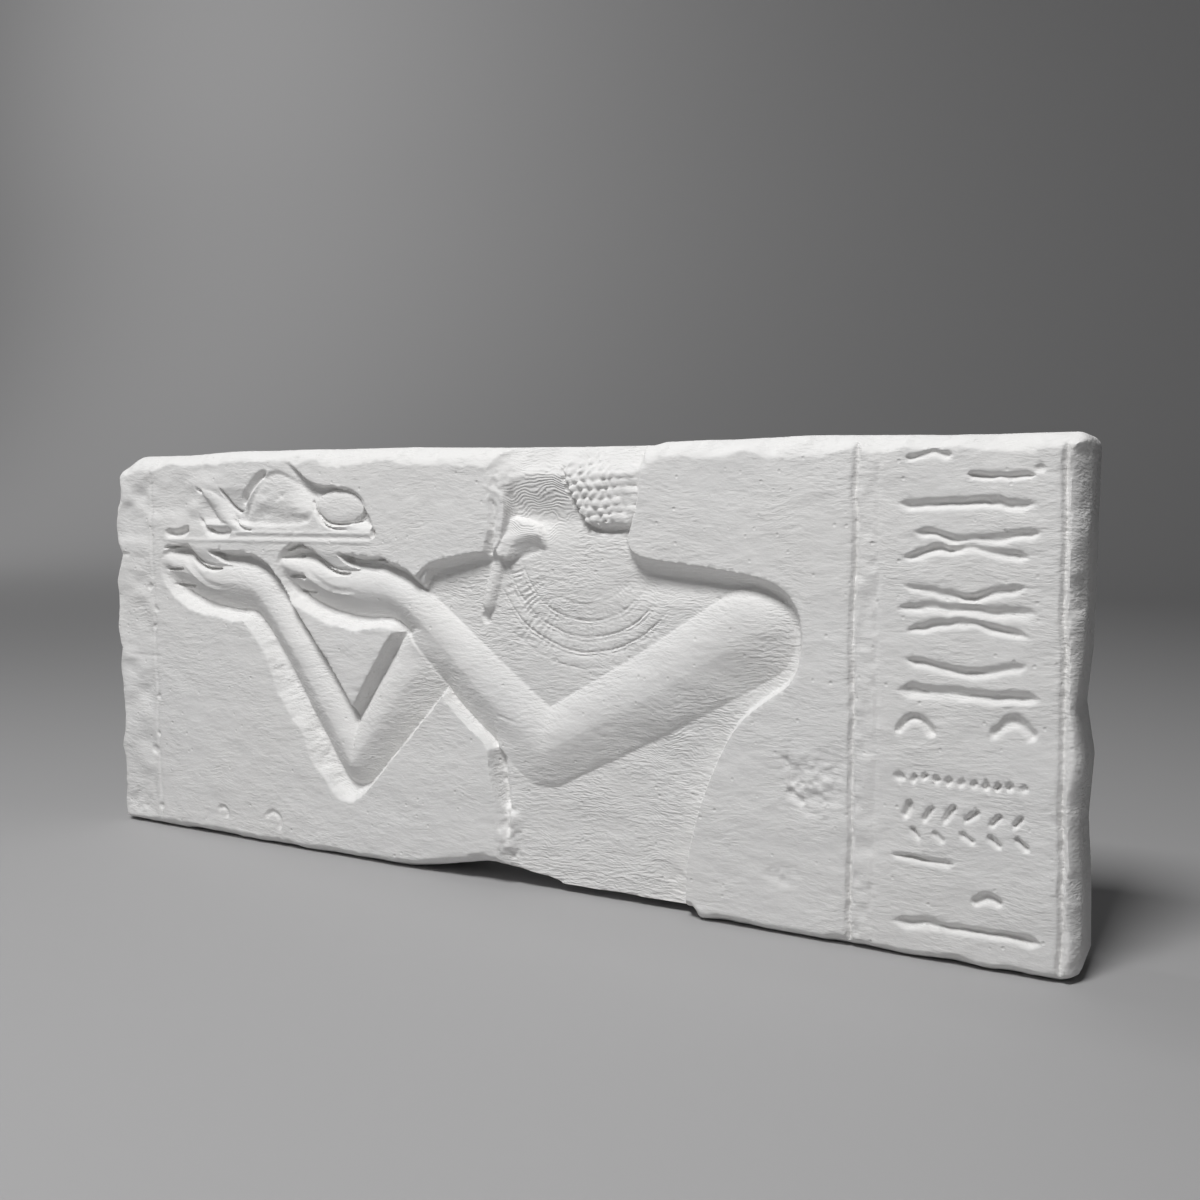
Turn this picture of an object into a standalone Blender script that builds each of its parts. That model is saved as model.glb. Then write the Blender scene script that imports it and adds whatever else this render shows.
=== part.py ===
"""A plaster cast of a sunk relief: a long slab broken out of a wall scene, carved on its front.

Metres, +Z up. The front faces -Y, +X runs along the slab, and the slab stands on its lower edge
at z = 0. The carving is laid out in panel units: LENGTH is 303 of them and HEIGHT is 123, so one
unit is one millimetre at the real size, and the figure grows with the slab.
"""

import math

import bpy
import bmesh
import numpy as np

# Driving dimensions of the slab.
LENGTH = 0.303
HEIGHT = 0.123
THICKNESS = 0.022
FRONT_EDGE_RADIUS = 0.0026
BACK_EDGE_BEVEL = 0.0008
CORNER_RADIUS = 0.0118
SMALL_CORNER_RADIUS = 0.0032
FOOT_RECESS = 0.0054

# Driving dimensions of the carving.
RELIEF_DEPTH = 0.0045
LIMB_STANDOFF = 0.0040
WALL_WIDTH = 0.0023
WORN_WALL_WIDTH = 0.0058
GROOVE_DEPTH = 0.0010
GROOVE_WIDTH = 0.0017
STROKE_DEPTH = 0.0014
STROKE_WIDTH = 0.0030

# How finely the front is laid out before it is thinned to plain facets.
GRID_STEP = 0.00105
KEPT_FACES = 0.138

# The panel's own units, and the small turn between the carved lines and the edge it stands on.
PANEL_LENGTH = 303.0
PANEL_HEIGHT = 123.0
TURN = 0.0084
TURN_CENTRE = -90.0
PANEL_SHIFT = 0.75

# Stations along a limb: (along, up, half width). Each hand runs on to the middle of its forearm.
FAR_HAND = [(-125.5, 86.2, 3.4), (-119.5, 84.4, 6.4), (-109, 81.2, 7.6), (-98, 80.6, 8.1),
            (-89.5, 79.8, 7.6), (-83.2, 72.6, 6.1), (-73.8, 60.6, 6.7)]
FAR_ARM = [(-59.6, 40, 7.3), (-52.6, 28.4, 6.6), (-27, 61, 10)]
NEAR_HAND = [(-76.6, 86.4, 3.2), (-71, 84.6, 6.0), (-61, 81.3, 7.4), (-49, 79.8, 8.0),
             (-39, 79.8, 7.3), (-31, 73.8, 6.9), (-10, 57.4, 8.9)]
NEAR_ARM = [(13, 38.2, 9.7), (44, 55.2, 10.9), (71.5, 72.3, 12)]

# Each thumb stands up between two cuts under the tray.
FAR_THUMB = [(-119, 94), (-107.6, 94), (-106.6, 90.4), (-104.4, 88.4), (-98.5, 86.4), (-104, 86.2),
             (-109, 86.6), (-112.6, 88.2), (-115, 90.6), (-117, 93)]
NEAR_THUMB = [(-69, 95), (-55.6, 94), (-56.4, 90.6), (-54.4, 88.2), (-48.5, 86.2), (-53, 86),
              (-58, 86.4), (-61.5, 88.2), (-64.6, 90.4), (-67, 92.6)]
# Cuts in the hands: points, width in panel units, share of the relief's depth.
THUMB_CUTS = [
    ([(-128.5, 91), (-120.6, 92.2), (-115.4, 88.4), (-109.2, 85.2), (-100.5, 85.8)], 2.8, 0.75),
    ([(-127, 90), (-123, 90.4), (-117, 88.6)], 3.6, 0.45),
    ([(-108.8, 90.8), (-99, 88.9), (-90.6, 89.2)], 3.0, 1.0),
    ([(-79.5, 90.4), (-73.2, 92.9), (-67.2, 90.6), (-61.4, 86.2), (-49.5, 85.3)], 2.8, 0.75),
    ([(-57.6, 90.8), (-50, 88.7), (-41, 89.2), (-37.6, 88.4)], 3.0, 1.0),
]
FINGER_CUTS = [
    ([(-127.6, 85), (-118.6, 84.8)], 2.2, 0.33),
    ([(-125.6, 79.8), (-115, 79.6)], 2.2, 0.33),
    ([(-77, 83.7), (-68.4, 83.4)], 2.4, 0.42),
    ([(-75.6, 79.1), (-65.4, 79.1)], 2.0, 0.27),
    ([(-119, 87), (-113, 82.2), (-107, 79.6), (-100, 79)], 2.6, 0.12),
    ([(-69, 85), (-64, 82.2), (-58, 79.8), (-49, 79.4)], 2.6, 0.12),
]

# Where the figure is sunk: neck, chest, shoulder and waist.
TORSO = [
    (-1, 132), (-1, 115), (0.6, 109), (1.6, 104), (0.6, 98), (-0.6, 94), (-3, 92), (-7, 92.2),
    (-12, 91.5), (-20, 90), (-25.5, 87.8), (-29.5, 84), (-32, 79), (-31, 74), (-20, 65), (-10, 57),
    (-3, 51), (-2.4, 45), (-4.4, 38), (-4, 30), (-1.5, 23), (0, 16), (-3.5, 8), (-4, -8), (56, -8),
    (55.7, 10), (58, 24), (63, 38), (69, 50), (77, 56.8), (84, 61.5), (86.4, 70), (85.7, 79),
    (81, 85.4), (72, 88), (60, 89.6), (48, 90.9), (41.6, 92), (38.8, 95), (39.6, 98.4), (41.6, 104),
    (43, 112), (44, 132),
]
FLAP = [(-31.5, 82.6), (-29.5, 86), (-26.6, 87.4), (-24.6, 85), (-27, 82.2)]
PIT = [(-5, 107), (-2.4, 108.2), (0.4, 106), (0.8, 101.5), (-1.5, 92), (-6.4, 92.6), (-4.6, 103)]
WAIST_CRACK = [(-2.2, 39), (-1.4, 33), (-0.4, 27), (0.4, 21)]

# The end of the wig, with its rows of curls.
LAPPET = [(18.6, 118), (20.3, 110), (23.6, 103.6), (26, 99.6), (30, 97.9), (37.2, 97.9), (40, 100),
          (46, 116), (46, 126), (18.6, 126)]
CURL_ROW_PITCH = 2.9
CURL_PITCH = 4.2

# The narrow band that hangs over the chest from a broken block under the chin.
BAND = [(0.4, 97.5, 2.1), (0.3, 92, 1.9), (-0.6, 87, 1.9), (-1.8, 82, 1.8), (-2.3, 78, 1.5)]
BLOCK = [(-0.6, 102.2), (4, 101.7), (8.5, 100.7), (11.6, 99.6), (13, 97), (13.2, 94.2), (12, 93.4),
         (7, 92.2), (2.4, 90.8), (-1.2, 90.8), (-1.2, 96)]
BLOCK_UNDERSIDE = [(14.4, 97.8), (12, 98.2), (9, 97.8), (5.8, 97), (3.4, 95.3), (2.2, 93.2),
                   (1.8, 90), (6, 90.6), (12.5, 92.4)]
BAND_HOLE = [(-6.8, 75.6), (-4.2, 75.2), (-1.6, 74)]
COLLAR_CENTRE = (25.4, 93.3)
COLLAR_RADII = (19.5, 24, 28.3, 31.8)

# The laden tray over the hands.
TRAY_LEFT = -128.0
TRAY_RIGHT = -43.6
TRAY_BOTTOM = 92.6
TRAY_TOP = 97.2
LUMP = [(-95.5, 98.6), (-93.6, 102.4), (-90.6, 107), (-87.4, 111.4), (-84.2, 114.6), (-80, 116),
        (-76, 115.2), (-70, 111.8), (-65.4, 109.6), (-64.4, 106), (-65, 101), (-80, 98.4)]
LUMP_HOLLOW = [(-92.4, 99.2), (-88.4, 103.2), (-84, 104.4), (-70, 101.6), (-64.8, 102.6),
               (-64.6, 99.6), (-70, 98.9), (-84, 98.6)]
LOAF_CENTRE = (-56, 104.5)
LOAF_HALF = (8.9, 5.2)
HOOK = [(-109.6, 109.4, 1.8), (-103.4, 104.6, 3.5), (-100.8, 101.2, 3.2), (-97.2, 98.4, 1.9)]
OFFERING_CUTS = [
    ([(-75, 117.4), (-67, 112.3), (-59, 110.5), (-54, 109.9), (-46.2, 103.6), (-43.4, 98.6)], 3.4, 0.58),
    ([(-103.2, 110.8), (-99.2, 105.6), (-93.6, 103.2)], 2.4, 0.36),
    ([(-95.4, 103.4), (-92.8, 107.6), (-89.8, 111), (-82.6, 116)], 3.8, 0.38),
    ([(-127, 97), (-121.2, 95.6), (-116, 98.8)], 3.0, 0.33),
    ([(-111, 100.4), (-107, 96.4), (-97.6, 97.2)], 3.0, 0.35),
    ([(-65.2, 104.6), (-61.8, 99.6), (-55.4, 98.6), (-46.2, 100.4)], 2.0, 0.28),
]

# The written column: (height, from, to, bow, share of the stroke width) of each shallow stroke.
COLUMN_STROKES = [
    (115.4, 110, 121, 0.6, 0.8), (111.4, 124, 139, -0.5, 0.8), (104.6, 108.5, 139.5, 0.2, 1.1),
    (98.9, 112, 141, -1.2, 1), (92.4, 109.5, 138.5, 1.7, 1), (86.6, 109.5, 138.5, -1.7, 1),
    (80.8, 108, 141, 0.2, 1.1), (75.4, 110, 139, 1.8, 1), (69.2, 110, 139, -1.6, 1),
    (61.8, 108.5, 141.5, 0, 1.5), (51.4, 108.5, 118.5, 2.6, 1.1), (52.4, 130.5, 140.5, 2.6, 1.1),
    (22.6, 108, 124, 0, 0.8), (14, 127, 134, 1, 0.9), (7, 108.5, 143.5, 0.2, 1.1),
]
# Rows of short dashes there: (height, from, to, how many, lean).
COLUMN_DASHES = [(41.6, 109, 140, 9, 0.8), (33.6, 110, 140, 6, 2.2), (28.4, 111.5, 141, 5, -1.6)]
# The upright lines that frame it: (place at the foot, lean, share of the groove depth).
BORDER_LINES = [(-131.4, -0.013, 0.35), (98.7, 0.0, 1.1), (146.8, -0.011, 1.0)]


def ease(t):
    """0 to 1, level at both ends."""
    t = np.clip(t, 0.0, 1.0)
    return t * t * (3.0 - 2.0 * t)


def limb(u, w, stations):
    """Distance outside a limb's edge, share of its half width from its axis, and which way is out."""
    outside = np.full(u.shape, 1e3)
    across = np.full(u.shape, 1e3)
    upward = np.zeros(u.shape)
    leftward = np.zeros(u.shape)
    for (x0, z0, r0), (x1, z1, r1) in zip(stations, stations[1:]):
        dx, dz = x1 - x0, z1 - z0
        t = np.clip(((u - x0) * dx + (w - z0) * dz) / (dx * dx + dz * dz), 0.0, 1.0)
        radius = r0 + t * (r1 - r0)
        aside, above = u - x0 - t * dx, w - z0 - t * dz
        away = np.hypot(aside, above)
        nearer = away - radius < outside
        upward = np.where(nearer, above / np.maximum(away, 1e-6), upward)
        leftward = np.where(nearer, -aside / np.maximum(away, 1e-6), leftward)
        outside = np.minimum(outside, away - radius)
        across = np.minimum(across, away / radius)
    return outside, across, upward, leftward


def softened(points, closed, rounds=2):
    """The same line with its corners cut, twice over, so that it runs round."""
    line = np.array(points, float)
    for _ in range(rounds):
        following = np.roll(line, -1, axis=0)
        cut = np.empty((2 * len(line), line.shape[1]))
        cut[0::2] = 0.75 * line + 0.25 * following
        cut[1::2] = 0.25 * line + 0.75 * following
        line = cut if closed else np.vstack([line[0], cut[:-2], line[-1]])
    return line


def nearest(u, w, start, end):
    """Distance to one straight stretch, and how far along it the nearest point lies."""
    dx, dz = end[0] - start[0], end[1] - start[1]
    t = np.clip(((u - start[0]) * dx + (w - start[1]) * dz) / (dx * dx + dz * dz), 0.0, 1.0)
    return np.hypot(u - start[0] - t * dx, w - start[1] - t * dz), t


def within(u, w, points):
    """Depth inside a softened outline: positive inside it, negative outside."""
    line = softened(points, closed=True)
    best = np.full(u.shape, 1e3)
    inside = np.zeros(u.shape, bool)
    for start, end in zip(line, np.roll(line, -1, axis=0)):
        away, _ = nearest(u, w, start, end)
        best = np.minimum(best, away)
        rise = end[1] - start[1]
        if abs(rise) > 1e-9:
            crosses = (start[1] > w) != (end[1] > w)
            inside ^= crosses & (u < start[0] + (w - start[1]) * (end[0] - start[0]) / rise)
    return np.where(inside, best, -best)


def furrow(u, w, points, width, thin_ends=0.2):
    """1 in the middle of a cut of the given width along a softened line, 0 outside it."""
    line = softened(points, closed=False)
    lengths = np.hypot(*np.diff(line, axis=0).T)
    best = np.full(u.shape, 1e3)
    place = np.zeros(u.shape)
    run = 0.0
    for start, end, length in zip(line, line[1:], lengths):
        away, t = nearest(u, w, start, end)
        nearer = away < best
        best = np.where(nearer, away, best)
        place = np.where(nearer, (run + t * length) / lengths.sum(), place)
        run += length
    full = ease(np.minimum(place, 1.0 - place) / thin_ends)
    return full * ease(1.0 - best / (0.5 * width * (0.3 + 0.7 * full)))


def lies_on(upward, over, under):
    """How far a limb lies on what is beside it: over its upper edge, and under its lower one."""
    return ease(0.5 * over + 0.5) * ease(3 * upward + 0.5) + ease(0.5 * under + 0.5) * ease(0.5 - 3 * upward)


def carve_limb(depth, u, w, stations, edge, crown, behind=0.0, bed=None):
    """Lay a rounded limb over the ground. Its wall is steep above it, and wide and worn to the left."""
    outside, across, upward, leftward = limb(u, w, stations)
    below = ease(0.2 - 1.6 * upward)
    edge = edge * (1.0 + 0.14 * below)
    if bed is not None:
        edge = edge + (np.minimum(edge, bed + 0.05) - edge) * lies_on(upward, 0.5 * u + 15, u + 3)
        edge = edge + (np.minimum(edge, depth + 0.5) - edge) * behind
    swell = np.clip(1.0 - across**2, 0.0, 1.0)
    form = edge - (edge - crown) * (0.4 * np.sqrt(swell) + 0.6 * swell)
    form = form - 0.5 * swell * np.minimum(across, 1) * upward
    worn = below * ease(0.6 + leftward)
    wall = 1e3 * (WALL_WIDTH * (1.0 + 0.45 * below * (1.0 - worn)) + (WORN_WALL_WIDTH - WALL_WIDTH) * worn)
    ground = np.maximum(depth, edge * ease(1.0 - outside / wall) * (1.0 - behind))
    return form + (ground - form) * ease(outside + 0.5)


def torso_floor(u, w, sunk):
    """Depth of the sunk neck, chest and waist away from their walls."""
    chest = sunk * (0.71 + 0.31 * ease((2 - u) / 26) + 0.13 * ease((u - 34) / 40))
    waist = sunk * (1.08 - 0.15 * np.exp(-(((u - 32) / 17) ** 2)))
    neck = sunk * (0.47 + 0.47 * ease((113.5 - w) / 12))
    floor = waist + (chest - waist) * ease((w - 38) / 22)
    floor = floor + (neck - floor) * ease((w - 95) / 7)
    return floor - 0.5 * sunk * ease((22 - u) / 20) * ease((46 - w) / 10)


def carve_torso(depth, u, w, sunk):
    """The neck, chest and waist, sunk inside their own outline, with the breaks beside them."""
    inside = within(u, w, TORSO)
    floor = torso_floor(u, w, sunk)
    broken = ease((14 - u) / 5) * ease((23 - w) / 5)
    wall = 1e3 * WALL_WIDTH * (0.9 + 2.2 * broken)
    depth = np.maximum(depth, floor * ease(inside / wall))
    depth = depth + 0.3 * sunk * furrow(u, w, WAIST_CRACK, 2.0)
    depth = depth + (np.minimum(depth, 0.45 * sunk) - depth) * ease(within(u, w, FLAP) + 0.4)
    return np.maximum(depth, 0.3 * sunk * ease(within(u, w, PIT) / 2.4))


def carve_lappet(depth, u, w):
    """The end of the wig: raised, with rows of curls that smooth out to its right."""
    row = np.floor(w / CURL_ROW_PITCH)
    bump = 1 - (2 * (w / CURL_ROW_PITCH - row) - 1) ** 2
    curl = 0.66 + 0.34 * np.cos(2 * math.pi * (u / CURL_PITCH + 0.5 * row)) * ease((36 - u) / 6)
    form = 1.95 + 0.7 * ease((w - 113) / 7) - 0.95 * bump * curl
    form = form + 3.0 * ease((100.6 - w) / 2.6) * ease((40.5 - u) / 3)
    form = np.minimum(form, depth)
    return depth + (form - depth) * ease(within(u, w, LAPPET) / 1.0)


def carve_collar(depth, u, w):
    """Round rows of a broad collar, scored on the chest."""
    away = np.hypot((u - COLLAR_CENTRE[0]) / 1.05, w - COLLAR_CENTRE[1])
    shown = ease((92 - w) / 6) * ease((u + 2) / 4) * ease((129 - u - w) / 12)
    for radius in COLLAR_RADII:
        depth = depth + shown * GROOVE_DEPTH * 1e3 * 0.4 * ease(1 - np.abs(away - radius) / 0.9)
    return depth


def carve_hands(depth, u, w, sunk):
    """Thumbs, the dark cuts beside them and the gaps between the fingers."""
    for outline in (FAR_THUMB, NEAR_THUMB):
        form = 0.1 + 1.2 * ease((92 - w) / 6)
        depth = depth + (np.minimum(depth, form) - depth) * ease(within(u, w, outline) / 0.9 + 0.4)
    for line, width, share in THUMB_CUTS:
        depth = np.maximum(depth, share * sunk * furrow(u, w, line, width, 0.16))
    for line, width, share in FINGER_CUTS:
        depth = depth + share * sunk * furrow(u, w, line, width)
    return depth


def carve_strap(depth, u, w, sunk):
    """The broken block under the chin, undercut to its right, and the band that hangs from it."""
    under = within(u, w, BLOCK_UNDERSIDE)
    top = 0.5 + 0.25 * np.clip(101 - w, 0, 8)
    form = top + (0.93 * sunk - top) * ease((under + 0.6) / 3.0)
    form = np.minimum(form, depth + 0.3)
    depth = depth + (form - depth) * ease(within(u, w, BLOCK) + 0.5)
    across = limb(u, w, BAND)[1]
    crown = np.minimum(1.0 + 1.9 * ease((88 - w) / 11), depth)
    band = depth - (depth - crown) * np.sqrt(np.clip(1 - across**3, 0, 1))
    depth = np.minimum(depth, band)
    return depth + 0.22 * sunk * furrow(u, w, BAND_HOLE, 4.2, 0.45)


def carve_offerings(depth, u, w, sunk):
    """The tray with what lies on it, in lower relief than the arms."""
    hollow = ease((u + 115) / 9) * ease((-89 - u) / 4) * ease((114 - w) / 10) * ease((w - 97) / 1.5)
    depth = np.maximum(depth, 0.33 * sunk * hollow)
    lump = within(u, w, LUMP)
    crown = 0.3 * sunk * ease((within(u, w, LUMP_HOLLOW) + 2.6) / 5.2)
    crown = np.maximum(crown, 0.33 * sunk * ease((-85 - u) / 8) * ease((113 - w) / 6))
    depth = depth + (crown - depth) * ease(lump / 1.6)
    loaf = np.hypot((u - LOAF_CENTRE[0]) / LOAF_HALF[0], (w - LOAF_CENTRE[1]) / LOAF_HALF[1])
    depth = np.maximum(depth, 0.2 * sunk * ease((1.25 - loaf) / 0.2) * ease((w - 97.4) / 1.5))
    depth = np.where(loaf < 1, (0.04 + 0.24 * np.minimum(loaf, 1) ** 4) * sunk, depth)
    across = limb(u, w, HOOK)[1]
    depth = np.where(across < 1, np.minimum(depth, 0.33 * sunk * np.minimum(across, 1) ** 2), depth)
    for line, width, share in OFFERING_CUTS:
        depth = depth + share * sunk * furrow(u, w, line, width)
    along = ease((u - TRAY_LEFT) / 2) * ease((TRAY_RIGHT - u) / 1.5)
    rows = ease((w - TRAY_BOTTOM) / 0.8 + 1) * ease((TRAY_TOP - w) / 0.8 + 1)
    beside = along * ease((w - 89) / 2) * ease((101 - w) / 2)
    depth = depth + 0.08 * sunk * beside * (1 - rows)
    depth = depth - along * rows * np.minimum(depth, 0.16 * sunk)
    return depth + along * 0.08 * sunk * ease(1 - np.abs(w - 95.4) / 0.9)


def carve_column(depth, u, w):
    """Shallow strokes down the right side, and the upright lines that frame them."""
    deep, width = STROKE_DEPTH * 1e3, STROKE_WIDTH * 1e3
    for height, start, end, bow, share in COLUMN_STROKES:
        line = [(start, height), ((start + end) / 2, height + 2 * bow), (end, height)]
        depth = depth + deep * furrow(u, w, line, width * share, 0.08)
    for height, start, end, count, lean in COLUMN_DASHES:
        pitch = (end - start) / count
        for i in range(count):
            left = start + pitch * (i + 0.15)
            line = [(left, height - lean), (left + 0.55 * pitch, height + lean)]
            depth = depth + deep * furrow(u, w, line, 0.9 * width)
    for place, lean, share in BORDER_LINES:
        away = np.abs(u - place - lean * w)
        depth = depth + GROOVE_DEPTH * 1e3 * share * ease(1 - away / (0.7 * GROOVE_WIDTH * 1e3))
    return depth


def carve_wear(depth, u, w):
    """The broken upper rim over the neck, which leans back, and one worn patch on the ground."""
    above = ease((u + 2) / 4) * ease((45 - u) / 3)
    depth = np.maximum(depth, above * 0.8 * np.clip(w - 114.6, 0, 9))
    patch = ease(1.3 - np.hypot((u - 89.5) / 8, (w - 38) / 8.5))
    return depth + 0.4 * patch * (0.6 + 0.4 * np.sin(u * 1.3) * np.cos(w * 1.1))


def relief(u, w):
    """Depth of the front below its face, in millimetres, at panel coordinates u and w."""
    sunk = RELIEF_DEPTH * 1e3
    crown = max(sunk - LIMB_STANDOFF * 1e3, 0.0)
    edge = sunk * ease((u + 131) / 13)
    top = np.minimum(crown, 0.4 * edge) + 0.33 * sunk * ease((u + 44) / 18) * ease((70 - w) / 10)
    far = [*softened(FAR_HAND, closed=False), *FAR_ARM]
    depth = carve_limb(np.zeros(u.shape), u, w, far, edge, top)
    depth = carve_torso(depth, u, w, sunk)
    depth = carve_lappet(carve_collar(depth, u, w), u, w)
    edge = sunk * ease((u + 82) / 9)
    near = [*softened(NEAR_HAND, closed=False), *NEAR_ARM]
    top = np.minimum(crown, 0.4 * edge)
    behind = ease(-(limb(u, w, far)[0] + 0.4) / 1.8)
    depth = carve_limb(depth, u, w, near, edge, top, behind, torso_floor(u, w, sunk))
    depth = carve_hands(depth, u, w, sunk)
    depth = carve_strap(depth, u, w, sunk)
    depth = carve_offerings(depth, u, w, sunk)
    return carve_wear(carve_column(depth, u, w), u, w)


def corner_drop(inward, radius):
    """How far an edge falls away near a rounded corner."""
    short = np.clip(1.0 - inward / radius, 0.0, 1.0)
    return radius * (1.0 - np.sqrt(1.0 - short**2))


def foot_line(x):
    """Height of the lower edge: two level feet, with a broken hollow between them."""
    share = x / LENGTH
    rise = ease((share + 0.125) / 0.115) * ease((0.2 - share) / 0.0135)
    chip = 0.46 + 0.24 * ease((0.06 - share) / 0.02) + 0.30 * ease((0.036 - share) / 0.04)
    right = corner_drop(0.5 * LENGTH - x, SMALL_CORNER_RADIUS)
    left = corner_drop(0.5 * LENGTH + x, 0.6 * SMALL_CORNER_RADIUS)
    return FOOT_RECESS * rise * chip + left + right


def top_line(x):
    """Height of the upper edge: slightly wavy, lower to the left, round at its left corner."""
    share = x / LENGTH
    drop = np.interp(share, (-0.5, -0.4, -0.33, -0.1, 0, 0.15, 0.162, 0.3, 0.4, 0.5),
                     (0.0026, 0.0024, 0.0014, 0.0011, 0.0017, 0.0018, 0.0010, 0, 0.0006, 0.0004))
    left = corner_drop(0.5 * LENGTH + x, CORNER_RADIUS)
    right = corner_drop(0.5 * LENGTH - x, SMALL_CORNER_RADIUS)
    return HEIGHT - drop - left - right


def side_line(z):
    """How far the left and right edges stand in from the slab's full length."""
    share = z / HEIGHT
    left = np.interp(share, (0, 0.2, 0.29, 0.42, 0.47, 0.52, 0.66, 0.72, 0.75, 0.84, 1),
                     (0.0025, 0.0016, 0.0025, 0.0016, 0.0029, 0.0010, 0, 0.0023, 0.0005, 0, 0))
    right = np.interp(share, (0, 0.02, 0.16, 0.28, 0.4, 0.5, 0.6, 1),
                      (0.0015, 0, 0.0005, 0.0016, 0.0008, 0.0029, 0.0019, 0.0017))
    return left, right


def front_points():
    """The front as a grid of points, with its carving and its rounded edge."""
    columns = round(LENGTH / GRID_STEP) + 1
    rows = round(HEIGHT / GRID_STEP) + 1
    s, t = np.meshgrid(np.linspace(0, 1, columns), np.linspace(0, 1, rows))
    x = (s - 0.5) * LENGTH
    low, high = foot_line(x), top_line(x)
    z = low + t * (high - low)
    left, right = side_line(z)
    x = -0.5 * LENGTH + left + s * (LENGTH - left - right)
    u = x / LENGTH * PANEL_LENGTH - PANEL_SHIFT
    w = z / HEIGHT * PANEL_HEIGHT
    u, w = u + TURN * w, w - TURN * (u - TURN_CENTRE)
    depth = relief(u, w) * 1e-3
    edge = np.minimum(np.minimum(z - low, high - z), np.minimum(s, 1 - s) * LENGTH)
    y = -0.5 * THICKNESS + np.maximum(depth, corner_drop(edge, FRONT_EDGE_RADIUS))
    return np.stack([x, y, z], axis=-1)


def slab_mesh(points):
    """One closed body: the carved front, square sides and a flat back with a small bevel."""
    rows, columns = points.shape[:2]
    mesh = bmesh.new()
    bmesh.ops.create_grid(mesh, x_segments=columns - 1, y_segments=rows - 1, size=1.0)
    mesh.verts.ensure_lookup_table()
    for vert, place in zip(mesh.verts, points.reshape(-1, 3)):
        vert.co = place
    rim = [edge for edge in mesh.edges if edge.is_boundary]
    for depth, inset in ((0.5 * THICKNESS - BACK_EDGE_BEVEL, 0.0), (0.5 * THICKNESS, BACK_EDGE_BEVEL)):
        grown = bmesh.ops.extrude_edge_only(mesh, edges=rim)["geom"]
        for vert in (item for item in grown if isinstance(item, bmesh.types.BMVert)):
            vert.co.y = depth
            vert.co.x -= math.copysign(min(inset, abs(vert.co.x)), vert.co.x)
        rim = [item for item in grown if isinstance(item, bmesh.types.BMEdge)]
    bmesh.ops.contextual_create(mesh, geom=rim)
    bmesh.ops.triangulate(mesh, faces=mesh.faces[:])
    bmesh.ops.recalc_face_normals(mesh, faces=mesh.faces[:])
    return mesh


def plaster():
    """Dry white plaster, slightly warm."""
    material = bpy.data.materials.new("white plaster")
    material.use_nodes = True
    shader = material.node_tree.nodes["Principled BSDF"]
    shader.inputs["Base Color"].default_value = (0.84, 0.83, 0.81, 1.0)
    shader.inputs["Roughness"].default_value = 0.85
    shader.inputs["Metallic"].default_value = 0.0
    return material


def build():
    for item in list(bpy.data.objects):
        bpy.data.objects.remove(item)
    collection = bpy.data.collections.new("plaster relief plaque")
    bpy.context.scene.collection.children.link(collection)
    body = slab_mesh(front_points())
    data = bpy.data.meshes.new("relief_plaque")
    body.to_mesh(data)
    body.free()
    slab = bpy.data.objects.new("relief_plaque", data)
    slab.data.materials.append(plaster())
    collection.objects.link(slab)
    thin = slab.modifiers.new("plain facets", "DECIMATE")
    thin.ratio = KEPT_FACES


build()
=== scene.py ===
# A white plaster cast of a sunk relief, standing on its lower edge: the look of the finished piece.
import math

import bpy
import numpy as np
from mathutils import Matrix, Vector


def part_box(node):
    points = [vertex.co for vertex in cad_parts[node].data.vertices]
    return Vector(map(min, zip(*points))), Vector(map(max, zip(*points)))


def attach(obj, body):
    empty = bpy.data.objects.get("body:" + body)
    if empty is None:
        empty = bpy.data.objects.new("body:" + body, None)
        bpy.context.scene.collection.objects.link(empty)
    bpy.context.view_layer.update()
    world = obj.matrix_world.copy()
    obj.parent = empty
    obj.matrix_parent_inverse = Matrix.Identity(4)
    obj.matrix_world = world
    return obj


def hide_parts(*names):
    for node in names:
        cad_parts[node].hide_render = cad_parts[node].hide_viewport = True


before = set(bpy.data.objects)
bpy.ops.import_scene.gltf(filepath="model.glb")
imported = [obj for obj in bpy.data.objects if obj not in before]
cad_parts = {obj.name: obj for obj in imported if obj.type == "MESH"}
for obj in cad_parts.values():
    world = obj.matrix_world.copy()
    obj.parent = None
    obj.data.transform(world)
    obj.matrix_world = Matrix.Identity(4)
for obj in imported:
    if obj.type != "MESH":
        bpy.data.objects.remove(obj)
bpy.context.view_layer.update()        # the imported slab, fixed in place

# The carving is laid out in panel units, about a millimetre each: u runs along the slab, w runs
# up it, and depth goes into its face. Each carve function takes the depth so far and returns it.


# a smooth step from 0 to 1
def ease(t):
    t = np.clip(t, 0.0, 1.0)
    return t * t * (3.0 - 2.0 * t)


unevenness = {
    "size": 512,        # points each way before the pattern repeats
    "start": 200,       # keeps the whole panel on its positive side
}


# smooth unevenness from -1 to 1, with bumps one pitch apart and longer along the slab if stretched
def noise(u, w, pitch, seed, stretch=1.0):
    size = unevenness["size"]
    lattice = np.random.default_rng(seed).random((size, size)) * 2 - 1
    x = u / (pitch * stretch) + unevenness["start"]
    z = w / pitch + unevenness["start"]
    i = np.floor(x).astype(int)
    j = np.floor(z).astype(int)
    fx = ease(x - i)
    fz = ease(z - j)
    lower = j % size
    upper = (j + 1) % size
    left = i % size
    right = (i + 1) % size
    low = lattice[lower, left] * (1 - fx) + lattice[lower, right] * fx
    high = lattice[upper, left] * (1 - fx) + lattice[upper, right] * fx
    return low * (1 - fz) + high * fz


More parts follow.
